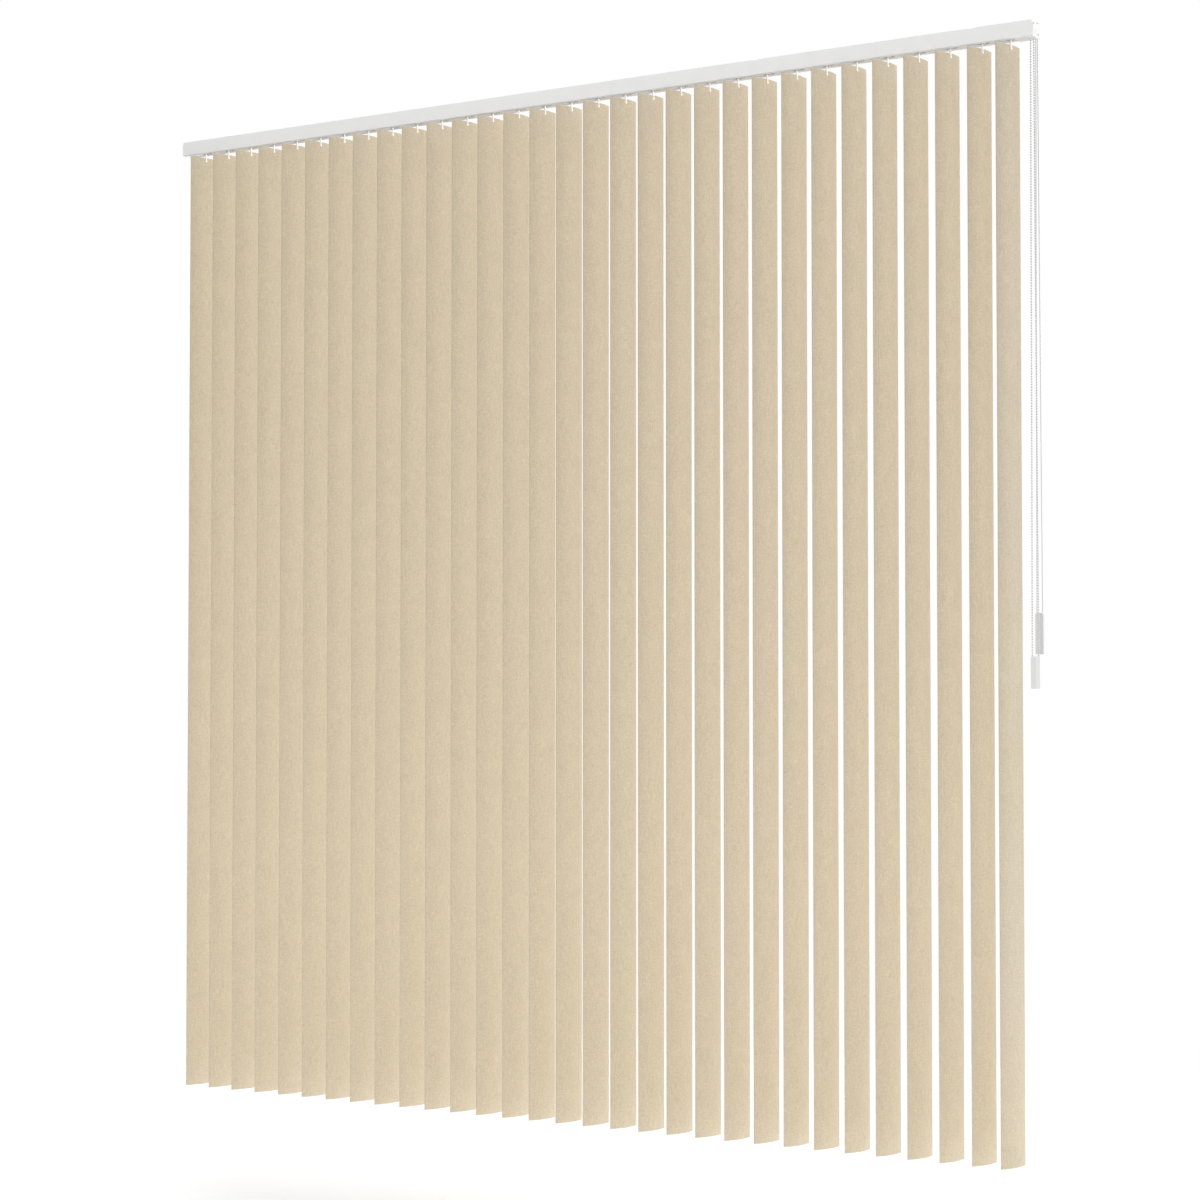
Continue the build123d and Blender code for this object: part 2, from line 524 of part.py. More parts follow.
def weight_halves(height, body_r, side_clear):
    """Front and rear shell of a weight, about its wheel axis along Y at the origin."""
    wheel_half = body_r + 1.05
    room = body_r + side_clear
    top = LOOP_WHEEL_DEPTH
    with BuildPart() as body:
        with BuildSketch(Plane.XY.offset(top - height)):
            with BuildLine():
                Polyline(
                    (-WEIGHT_WIDTH / 2, -WEIGHT_EDGE),
                    (0, -WEIGHT_RIDGE),
                    (WEIGHT_WIDTH / 2, -WEIGHT_EDGE),
                    (WEIGHT_WIDTH / 2, WEIGHT_EDGE),
                    (0, WEIGHT_RIDGE),
                    (-WEIGHT_WIDTH / 2, WEIGHT_EDGE),
                    close=True,
                )
            make_face()
        extrude(amount=height)
        sides = body.edges().filter_by(Axis.Z).group_by(Axis.X)
        fillet(sides[0] + sides[-1], 2.0)
        with BuildSketch(Plane.XZ.offset(-WEIGHT_RIDGE - 1)):
            with Locations((0, top - height / 2)):
                RectangleRounded(WEIGHT_WIDTH, height, 4.0)
        extrude(amount=2 * WEIGHT_RIDGE + 2, mode=Mode.INTERSECT)
        round_y(LOOP_WHEEL_R + 1.0, 0, (-wheel_half - CLEAR, wheel_half + CLEAR), 0, mode=Mode.SUBTRACT)
        round_y(LOOP_WHEEL_R + room, 0, (-room, room), 0, mode=Mode.SUBTRACT)
        block((-LOOP_WHEEL_R - room, LOOP_WHEEL_R + room), (-room, room), (0, top + 1), mode=Mode.SUBTRACT)
    halves = []
    for side in (-1, 1):
        with BuildPart() as shell:
            add(body.part)
            limits = (0, 20) if side < 0 else (-20, 0)
            block((-20, 20), limits, (top - height - 1, top + 1), mode=Mode.SUBTRACT)
            if side > 0:
                round_y(WEIGHT_PIN_R, 0, (-wheel_half - CLEAR, wheel_half + CLEAR + 0.2), 0)
        halves.append(shell.part)
    return halves


CHAIN_PLACE = Location((CHAIN_X, ROD_Y, CHAIN_WHEEL_Z), (0, 0, 90 - CHAIN_WEIGHT_TURN))
CORD_PLACE = Location((CORD_X, CORD_Y, CORD_WHEEL_Z))
for name, height, body_r, place in (
    ("chain_weight", CHAIN_WEIGHT_HEIGHT, BEAD_R, CHAIN_PLACE),
    ("cord_weight", CORD_WEIGHT_HEIGHT, CORD_R, CORD_PLACE),
):
    front, rear = weight_halves(height, body_r, 0.4)
    save(front.moved(place), f"{name}_front")
    save(rear.moved(place), f"{name}_rear")
    loop_wheel = spool(
        LOOP_WHEEL_R - body_r - CLEAR,
        LOOP_WHEEL_R + 0.6,
        body_r + 1.05,
        body_r + 0.1,
        WEIGHT_PIN_R + RUN_FIT,
    )
    save(loop_wheel.moved(place * Location((0, 0, 0), (90, 0, 0))), f"{name}_wheel")

# ---- vane with its stem: chord along X, hollow side towards +Y ----
HALF_CHORD = VANE_WIDTH / 2
BEND_R = (HALF_CHORD**2 + VANE_SAGITTA**2) / (2 * VANE_SAGITTA)
BEND_HALF_ANGLE = asin(HALF_CHORD / BEND_R)
LEG = 1.5
LEG_GAP = VANE_THICKNESS / 2 + 0.35
STEM_HALF = LEG_GAP + LEG


def bend_point(offset, share):
    """Point on the vane's curve, offset outwards from its middle surface."""
    angle = share * BEND_HALF_ANGLE
    radius = BEND_R + offset
    return (radius * sin(angle), BEND_R - radius * cos(angle))


with BuildPart() as vane:
    with BuildSketch(Plane.XY.offset(VANE_TOP - VANE_LENGTH)):
        with BuildLine():
            skin = VANE_THICKNESS / 2
            ThreePointArc(bend_point(skin, -1), bend_point(skin, 0), bend_point(skin, 1))
            Line(bend_point(skin, 1), bend_point(-skin, 1))
            ThreePointArc(bend_point(-skin, 1), bend_point(-skin, 0), bend_point(-skin, -1))
            Line(bend_point(-skin, -1), bend_point(skin, -1))
        make_face()
    extrude(amount=VANE_LENGTH)
    round_y(HANGER_HOLE_R, 0, (-5, 5), VANE_TOP - HANGER_HOLE, mode=Mode.SUBTRACT)

with BuildPart() as stem:
    round_z(PINION_R, 0, 0, (ROD_Z - PINION_HALF, ROD_Z + PINION_HALF))
    round_z(STEM_R, 0, 0, (RAIL_BOTTOM - 3, ROD_Z - PINION_HALF))
    block((-LEG, LEG), (-STEM_HALF, STEM_HALF), (VANE_TOP + 1.5, RAIL_BOTTOM - 1.5))
    block((-LEG, LEG), (-STEM_HALF, -LEG_GAP), (VANE_TOP - HANGER_HOLE - 2.8, VANE_TOP + 1.5))
    block((-LEG, LEG), (LEG_GAP, STEM_HALF), (VANE_TOP - HANGER_HOLE + 2.5, VANE_TOP + 1.5))
    round_y(HANGER_HOLE_R - 0.4, 0, (-STEM_HALF, LEG_GAP), VANE_TOP - HANGER_HOLE)
    round_y(2.7, 0, (-STEM_HALF - 0.7, -STEM_HALF), VANE_TOP - HANGER_HOLE)

vane_with_stem = Compound(children=[vane.part, stem.part])
for number, x in enumerate(VANE_X, start=1):
    save(vane_with_stem.moved(Location((x, 0, 0), (0, 0, VANE_ANGLE))), f"vane_{number:02d}")
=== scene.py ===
"""Looks of a vertical blind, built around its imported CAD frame.

Metres. X runs along the headrail towards the control end, Y from the room to the window and Z up.
The origin is the screw hole of the middle ceiling clip, at its top face.
"""

import json
import logging
import math
from collections.abc import Callable
from dataclasses import dataclass
from enum import Enum

import bpy
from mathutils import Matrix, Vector


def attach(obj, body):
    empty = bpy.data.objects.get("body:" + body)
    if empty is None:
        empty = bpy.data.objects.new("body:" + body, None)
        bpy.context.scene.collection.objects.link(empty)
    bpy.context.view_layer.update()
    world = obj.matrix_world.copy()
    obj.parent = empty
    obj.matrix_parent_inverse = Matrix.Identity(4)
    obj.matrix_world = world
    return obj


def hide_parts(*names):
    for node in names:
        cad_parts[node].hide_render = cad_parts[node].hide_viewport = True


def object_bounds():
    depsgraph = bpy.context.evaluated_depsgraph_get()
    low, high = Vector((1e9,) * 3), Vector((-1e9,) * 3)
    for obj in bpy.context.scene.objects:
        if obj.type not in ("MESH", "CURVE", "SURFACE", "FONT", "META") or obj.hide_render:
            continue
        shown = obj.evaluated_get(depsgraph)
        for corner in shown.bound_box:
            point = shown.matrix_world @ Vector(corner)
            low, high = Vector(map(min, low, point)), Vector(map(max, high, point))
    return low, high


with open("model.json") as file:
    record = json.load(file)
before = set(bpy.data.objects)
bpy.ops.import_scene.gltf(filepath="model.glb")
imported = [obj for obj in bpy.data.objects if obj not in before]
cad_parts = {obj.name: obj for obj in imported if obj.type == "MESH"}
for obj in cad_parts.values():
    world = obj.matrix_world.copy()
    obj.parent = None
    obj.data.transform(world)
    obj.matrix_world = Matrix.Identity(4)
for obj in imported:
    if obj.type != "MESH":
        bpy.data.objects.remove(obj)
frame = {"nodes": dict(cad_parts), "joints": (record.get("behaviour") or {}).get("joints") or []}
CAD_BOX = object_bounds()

Point = tuple[float, float, float]
Colour = tuple[float, float, float]

MM = 0.001
ROOT_BODY = "headrail_assembly"
log = logging.getLogger("blind")


# ---- finishes ----


class Grain(Enum):
    """Stretch of a finish's fine pattern along X, Y and Z."""

    EVEN = (1.0, 1.0, 1.0)
    UPRIGHT = (1.0, 1.0, 0.12)
    LEVEL = (0.3, 0.3, 1.0)
    ALONG_RAIL = (0.02, 1.0, 1.0)


@dataclass(frozen=True)
class Finish:
    """A surface finish whose colour, roughness and relief come from noise patterns.

    Attributes:
        name: Name of the material.
        colour: Middle colour, linear.
        grains: Directions of the fine pattern, which are averaged.
        grain_size: Size of the fine pattern's marks, in metres.
        grain_share: Share by which the fine pattern lightens and darkens the colour.
        cloud_size: Size of the broad, faint patches, in metres.
        cloud_share: Share by which the broad patches change the colour.
        scuff_size: Size of the handling marks, in metres.
        scuff_share: Share by which handling marks darken the colour.
        relief: Height of the fine pattern, in metres.
        roughness: Roughness of the smoothest and of the roughest spots.
        metallic: 1 for bare metal, 0 for everything else.
        specular: Specular level.
        coat: Weight of a clear coat.
    """

    name: str
    colour: Colour
    grains: tuple[Grain, ...] = (Grain.EVEN,)
    grain_size: float = 1.2 * MM
    grain_share: float = 0.03
    cloud_size: float = 60 * MM
    cloud_share: float = 0.02
    scuff_size: float = 22 * MM
    scuff_share: float = 0.03
    relief: float = 0.02 * MM
    roughness: tuple[float, float] = (0.35, 0.5)
    metallic: float = 0.0
    specular: float = 0.5
    coat: float = 0.0

    def pattern(self, tree: bpy.types.NodeTree) -> bpy.types.NodeSocket:
        """Lay the fine pattern.

        Args:
            tree: Node tree of the material.

        Returns:
            Socket with the pattern, from 0 to 1.
        """
        place = tree.nodes.new("ShaderNodeTexCoord")
        total = None
        for grain in self.grains:
            stretch = tree.nodes.new("ShaderNodeMapping")
            stretch.inputs["Scale"].default_value = grain.value
            tree.links.new(place.outputs["Object"], stretch.inputs["Vector"])
            noise = self.noise(tree, 1 / self.grain_size, 3.0)
            tree.links.new(stretch.outputs["Vector"], noise.inputs["Vector"])
            marks = noise.outputs["Fac"]
            total = marks if total is None else self.mean(tree, total, marks)
        return total

    def build(self) -> bpy.types.Material:
        """Make the material, or find the one already made.

        Returns:
            The material.
        """
        if self.name in bpy.data.materials:
            return bpy.data.materials[self.name]
        material = bpy.data.materials.new(self.name)
        material.use_nodes = True
        tree = material.node_tree
        shader = next(n for n in tree.nodes if n.type == "BSDF_PRINCIPLED")
        shader.inputs["Metallic"].default_value = self.metallic
        shader.inputs["Specular IOR Level"].default_value = self.specular
        shader.inputs["Coat Weight"].default_value = self.coat

        fine = self.pattern(tree)
        place = tree.nodes.new("ShaderNodeTexCoord")
        cloud = self.noise(tree, 1 / self.cloud_size, 2.0)
        scuff = self.noise(tree, 1 / self.scuff_size, 8.0)
        for noise in (cloud, scuff):
            tree.links.new(place.outputs["Object"], noise.inputs["Vector"])

        colour = self.tint(tree, fine, self.grain_share)
        low, high = 1 - self.cloud_share, 1 + self.cloud_share
        colour = self.scaled(tree, colour, cloud.outputs["Fac"], low, high)
        marks = self.span(tree, scuff.outputs["Fac"], (0.62, 0.74), (1.0, 1 - self.scuff_share))
        colour = self.scaled(tree, colour, marks, 0.0, 1.0)
        tree.links.new(colour, shader.inputs["Base Color"])

        rough = self.span(tree, scuff.outputs["Fac"], (0.3, 0.7), self.roughness)
        tree.links.new(rough, shader.inputs["Roughness"])

        bump = tree.nodes.new("ShaderNodeBump")
        bump.inputs["Distance"].default_value = self.relief
        bump.inputs["Strength"].default_value = 1.0
        tree.links.new(fine, bump.inputs["Height"])
        tree.links.new(bump.outputs["Normal"], shader.inputs["Normal"])
        return material

    def dress(self, piece: bpy.types.Object) -> None:
        """Put the finish on every material slot of a piece.

        Args:
            piece: New piece or CAD node.
        """
        if not piece.material_slots:
            piece.data.materials.append(None)
        for slot in piece.material_slots:
            slot.material = self.build()

    @staticmethod
    def noise(tree: bpy.types.NodeTree, scale: float, detail: float) -> bpy.types.Node:
        """Add a noise texture.

        Args:
            tree: Node tree of the material.
            scale: Marks per metre.
            detail: Octaves of finer noise.

        Returns:
            The texture node.
        """
        node = tree.nodes.new("ShaderNodeTexNoise")
        node.inputs["Scale"].default_value = scale
        node.inputs["Detail"].default_value = detail
        return node

    @staticmethod
    def mean(
        tree: bpy.types.NodeTree, first: bpy.types.NodeSocket, second: bpy.types.NodeSocket
    ) -> bpy.types.NodeSocket:
        """Average two patterns.

        Args:
            tree: Node tree of the material.
            first: One pattern.
            second: The other pattern.

        Returns:
            Socket with their mean.
        """
        node = tree.nodes.new("ShaderNodeMath")
        node.operation = "MULTIPLY_ADD"
        half = tree.nodes.new("ShaderNodeMath")
        half.operation = "MULTIPLY"
        half.inputs[1].default_value = 0.5
        tree.links.new(second, half.inputs[0])
        tree.links.new(first, node.inputs[0])
        node.inputs[1].default_value = 0.5
        tree.links.new(half.outputs[0], node.inputs[2])
        return node.outputs[0]

    @staticmethod
    def span(
        tree: bpy.types.NodeTree,
        value: bpy.types.NodeSocket,
        source: tuple[float, float],
        target: tuple[float, float],
    ) -> bpy.types.NodeSocket:
        """Stretch a pattern from one span of values to another.

        Args:
            tree: Node tree of the material.
            value: The pattern.
            source: Values to stretch from.
            target: Values to stretch to.

        Returns:
            Socket with the stretched pattern, held within the target.
        """
        node = tree.nodes.new("ShaderNodeMapRange")
        for socket, number in zip(node.inputs[1:5], (*source, *target)):
            socket.default_value = number
        tree.links.new(value, node.inputs[0])
        return node.outputs[0]

    def tint(
        self, tree: bpy.types.NodeTree, value: bpy.types.NodeSocket, share: float
    ) -> bpy.types.NodeSocket:
        """Colour a pattern from darker than the finish to lighter.

        Args:
            tree: Node tree of the material.
            value: The pattern.
            share: Share of the colour taken and added at its ends.

        Returns:
            Socket with the colour.
        """
        ramp = tree.nodes.new("ShaderNodeValToRGB")
        ends = ramp.color_ramp.elements
        ends[0].position = 0.3
        ends[1].position = 0.7
        ends[0].color = (*[c * (1 - share) for c in self.colour], 1.0)
        ends[1].color = (*[min(1.0, c * (1 + share)) for c in self.colour], 1.0)
        tree.links.new(value, ramp.inputs["Fac"])
        return ramp.outputs["Color"]

    def scaled(
        self,
        tree: bpy.types.NodeTree,
        colour: bpy.types.NodeSocket,
        value: bpy.types.NodeSocket,
        low: float,
        high: float,
    ) -> bpy.types.NodeSocket:
        """Lighten and darken a colour by a pattern.

        Args:
            tree: Node tree of the material.
            colour: The colour.
            value: The pattern.
            low: Factor where the pattern is 0.
            high: Factor where it is 1.

        Returns:
            Socket with the new colour.
        """
        factor = self.span(tree, value, (0.0, 1.0), (low, high))
        scale = tree.nodes.new("ShaderNodeVectorMath")
        scale.operation = "SCALE"
        tree.links.new(colour, scale.inputs[0])
        tree.links.new(factor, scale.inputs["Scale"])
        return scale.outputs[0]


@dataclass(frozen=True)
class BraidedFinish(Finish):
    """Finish of a braided cord, whose strands cross along and round it.

    Attributes:
        turns: Crossings along the whole cord.
        strands: Strands that wind each way.
    """

    turns: float = 900.0
    strands: float = 4.0

    def pattern(self, tree: bpy.types.NodeTree) -> bpy.types.NodeSocket:
        """Lay two sets of strands that wind in opposite ways on the cord's own map.

        Args:
            tree: Node tree of the material.

        Returns:
            Socket with the strands, from 0 between them to 1 along their backs.
        """
        place = tree.nodes.new("ShaderNodeTexCoord")
        backs = []
        for way in (-1, 1):
            wound = tree.nodes.new("ShaderNodeMapping")
            wound.inputs["Scale"].default_value = (self.turns, way * self.strands, 1.0)
            tree.links.new(place.outputs["UV"], wound.inputs["Vector"])
            wave = tree.nodes.new("ShaderNodeTexWave")
            wave.bands_direction = "DIAGONAL"
            wave.inputs["Scale"].default_value = 0.5
            wave.inputs["Distortion"].default_value = 0.0
            tree.links.new(wound.outputs["Vector"], wave.inputs["Vector"])
            backs.append(wave.outputs["Fac"])
        return self.mean(tree, backs[0], backs[1])


VANE_VINYL = Finish(
    "embossed_vinyl",
    (0.558, 0.480, 0.353),
    grains=(Grain.UPRIGHT, Grain.LEVEL, Grain.EVEN),
    grain_size=2.6 * MM,
    grain_share=0.20,
    cloud_size=45 * MM,
    cloud_share=0.05,
    scuff_share=0.02,
    relief=0.12 * MM,
    roughness=(0.5, 0.65),
    specular=0.35,
)
RAIL_ENAMEL = Finish(
    "baked_enamel",
    (0.91, 0.91, 0.90),
    grains=(Grain.ALONG_RAIL, Grain.EVEN),
    grain_size=1.5 * MM,
    grain_share=0.012,
    cloud_size=180 * MM,
    cloud_share=0.012,
    scuff_share=0.02,
    relief=0.01 * MM,
    roughness=(0.28, 0.4),
    coat=0.15,
)
WHITE_MOULDING = Finish(
    "moulded_white",
    (0.92, 0.92, 0.91),
    grain_size=0.5 * MM,
    grain_share=0.015,
    cloud_size=25 * MM,
    relief=0.008 * MM,
    roughness=(0.32, 0.45),
)
HANGER_PLASTIC = Finish(
    "hanger_plastic",
    (0.93, 0.92, 0.90),
    grain_size=0.6 * MM,
    grain_share=0.02,
    cloud_size=12 * MM,
    cloud_share=0.03,
    relief=0.006 * MM,
    roughness=(0.3, 0.45),
)
# Grey acetal for carriers, pulleys and wheels, darkened beyond its own grey as painted shade, so that
# the rail's slot looks as dark as in shadow.
GREY_ACETAL_AND_SLOT_SHADE = Finish(
    "grey_acetal_and_slot_shade",
    (0.46, 0.46, 0.45),
    grain_size=0.8 * MM,
    grain_share=0.03,
    cloud_size=15 * MM,
    cloud_share=0.04,
    relief=0.01 * MM,
    roughness=(0.38, 0.52),
)
BRIGHT_STEEL = Finish(
    "zinc_plated_steel",
    (0.62, 0.62, 0.63),
    grains=(Grain.ALONG_RAIL, Grain.EVEN),
    grain_size=0.4 * MM,
    grain_share=0.06,
    scuff_share=0.12,
    relief=0.006 * MM,
    roughness=(0.25, 0.42),
    metallic=1.0,
)
ROD_ALUMINIUM = Finish(
    "drawn_aluminium",
    (0.68, 0.68, 0.70),
    grains=(Grain.ALONG_RAIL,),
    grain_size=0.3 * MM,
    grain_share=0.07,
    scuff_share=0.1,
    relief=0.006 * MM,
    roughness=(0.3, 0.45),
    metallic=1.0,
)
BEAD_PLASTIC = Finish(
    "grey_beads",
    (0.66, 0.66, 0.665),
    grain_size=0.8 * MM,
    grain_share=0.03,
    cloud_size=70 * MM,
    cloud_share=0.04,
    relief=0.006 * MM,
    roughness=(0.25, 0.4),
)
WEIGHT_PLASTIC = Finish(
    "weight_plastic",
    (0.80, 0.80, 0.80),
    grain_size=0.5 * MM,
    grain_share=0.02,
    cloud_size=20 * MM,
    cloud_share=0.02,
    scuff_share=0.05,
    relief=0.012 * MM,
    roughness=(0.32, 0.46),
)
CORD_BRAID = BraidedFinish(
    "braided_cord",
    (0.74, 0.735, 0.74),
    grain_share=0.10,
    cloud_size=90 * MM,
    cloud_share=0.03,
    relief=0.12 * MM,
    roughness=(0.7, 0.85),
    specular=0.2,
)


# ---- bench work that the sub-assemblies share ----


class Bench:
    """Modelling steps on one piece at a time, as at a workbench."""

    @staticmethod
    def hold(piece: bpy.types.Object) -> None:
        """Select one piece and make it active.

        Args:
            piece: Piece to work on.
        """
        bpy.ops.object.select_all(action="DESELECT")
        piece.select_set(True)
        bpy.context.view_layer.objects.active = piece

    @staticmethod
    def settle(piece: bpy.types.Object) -> None:
        """Move a piece's place, turn and scale into its mesh.

        Args:
            piece: Piece to settle.
        """
        Bench.hold(piece)
        bpy.ops.object.transform_apply(location=True, rotation=True, scale=True)

    @staticmethod
    def block(name: str, low: Point, high: Point) -> bpy.types.Object:
        """Add a block between two corners.

        Args:
            name: Name of the piece.
            low: Lowest corner.
            high: Highest corner.

        Returns:
            The block.
        """
        bpy.ops.object.select_all(action="DESELECT")
        centre = [(a + b) / 2 for a, b in zip(low, high)]
        bpy.ops.mesh.primitive_cube_add(size=1, location=centre)
        piece = bpy.context.object
        piece.name = name
        piece.scale = [b - a for a, b in zip(low, high)]
        Bench.settle(piece)
        return piece

    @staticmethod
    def bar(
        name: str, radius: float, middle: Point, length: float, turn: Point, sides: int
    ) -> bpy.types.Object:
        """Add a round bar.

        Args:
            name: Name of the piece.
            radius: Radius of the bar.
            middle: Middle of the bar.
            length: Length of the bar.
            turn: Turn of the bar from upright, as Euler angles.
            sides: Number of its sides.

        Returns:
            The bar.
        """
        bpy.ops.object.select_all(action="DESELECT")
        bpy.ops.mesh.primitive_cylinder_add(
            vertices=sides, radius=radius, depth=length, location=middle, rotation=turn
        )
        piece = bpy.context.object
        piece.name = name
        Bench.settle(piece)
        return piece

    @staticmethod
    def pick_faces(piece: bpy.types.Object, test: Callable[[Vector, Vector], bool]) -> None:
        """Go into edit mode with only some faces selected.

        Args:
            piece: Piece to edit.
            test: Says of a face's centre and normal whether it is wanted.
        """
        Bench.hold(piece)
        bpy.ops.object.mode_set(mode="EDIT")
        bpy.ops.mesh.select_mode(type="FACE")
        bpy.ops.mesh.select_all(action="DESELECT")
        bpy.ops.object.mode_set(mode="OBJECT")
        for face in piece.data.polygons:
            face.select = test(face.center, face.normal)
        bpy.ops.object.mode_set(mode="EDIT")

    @staticmethod
    def pick_edges(piece: bpy.types.Object, test: Callable[[Vector, Vector], bool]) -> None:
        """Go into edit mode with only some edges selected.

        Args:
            piece: Piece to edit.
            test: Says of an edge's two ends whether it is wanted.
        """
        Bench.hold(piece)
        bpy.ops.object.mode_set(mode="EDIT")
        bpy.ops.mesh.select_mode(type="EDGE")
        bpy.ops.mesh.select_all(action="DESELECT")
        bpy.ops.object.mode_set(mode="OBJECT")
        points = piece.data.vertices
        for edge in piece.data.edges:
            edge.select = test(*[points[i].co for i in edge.vertices])
        bpy.ops.object.mode_set(mode="EDIT")

    @staticmethod
    def bisect(piece: bpy.types.Object, place: Point, normal: Point) -> None:
        """Cut new edges where a plane crosses a piece.

        Args:
            piece: Piece to cut.
            place: Point on the plane.
            normal: Normal of the plane.
        """
        Bench.hold(piece)
        bpy.ops.object.mode_set(mode="EDIT")
        bpy.ops.mesh.select_all(action="SELECT")
        bpy.ops.mesh.bisect(plane_co=place, plane_no=normal)
        bpy.ops.object.mode_set(mode="OBJECT")

    @staticmethod
    def modify(piece: bpy.types.Object, kind: str, **settings: object) -> None:
        """Add a modifier and apply it.

        Args:
            piece: Piece to modify.
            kind: Type of the modifier.
            **settings: Values of its properties.
        """
        Bench.hold(piece)
        modifier = piece.modifiers.new(kind.title(), kind)
        for key, value in settings.items():
            setattr(modifier, key, value)
        bpy.ops.object.modifier_apply(modifier=modifier.name)

    @staticmethod
    def round_edges(piece: bpy.types.Object, width: float, angle: float = 40.0) -> None:
        """Round the sharp edges of a piece and shade the rest smooth.

        Args:
            piece: Piece to finish.
            width: Width of the rounding.
            angle: Angle in degrees from which an edge counts as sharp.
        """
        Bench.modify(
            piece,
            "BEVEL",
            width=width,
            segments=2,
            limit_method="ANGLE",
            angle_limit=math.radians(angle),
            use_clamp_overlap=True,
            harden_normals=False,
        )
        Bench.hold(piece)
        bpy.ops.object.shade_smooth_by_angle(angle=math.radians(35))

    @staticmethod
    def join(name: str, pieces: list[bpy.types.Object]) -> bpy.types.Object:
        """Join several pieces into the first.

        Args:
            name: Name of the joined piece.
            pieces: Pieces to join.

        Returns:
            The joined piece.
        """
        bpy.ops.object.select_all(action="DESELECT")
        for piece in pieces:
            piece.select_set(True)
        bpy.context.view_layer.objects.active = pieces[0]
        bpy.ops.object.join()
        pieces[0].name = name
        return pieces[0]

    @staticmethod
    def copy(piece: bpy.types.Object, name: str, place: Point, turn: float) -> bpy.types.Object:
        """Copy a piece with its own mesh and set it down elsewhere.

        Args:
            piece: Piece to copy.
            name: Name of the copy.
            place: Place of the copy's origin.
            turn: Turn of the copy about Z, in radians.

        Returns:
            The copy.
        """
        Bench.hold(piece)
        bpy.ops.object.duplicate(linked=False)
        twin = bpy.context.object
        twin.name = name
        twin.location = place
        twin.rotation_euler = (0.0, 0.0, turn)
        Bench.settle(twin)
        return twin

    @staticmethod
    def discard(*pieces: bpy.types.Object) -> None:
        """Remove pieces that only helped to make others.

        Args:
            *pieces: Pieces to remove.
        """
        for piece in pieces:
            bpy.data.objects.remove(piece)

    @staticmethod
    def install(
        piece: bpy.types.Object, body: str, finish: Finish, slot: str, *nodes: str
    ) -> None:
        """Dress a new piece and let it stand for CAD nodes.

        Args:
            piece: The finished piece.
            body: Body that it rides on.
            finish: Its finish.
            slot: Material slot of the record; not used.
            *nodes: CAD nodes that it replaces.
        """
        finish.dress(piece)
        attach(piece, body)
        if nodes:
            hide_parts(*nodes)
        log.info("%s: %d faces on %s", piece.name, len(getattr(piece.data, "polygons", ())), body)


# ---- camera, floor and light ----


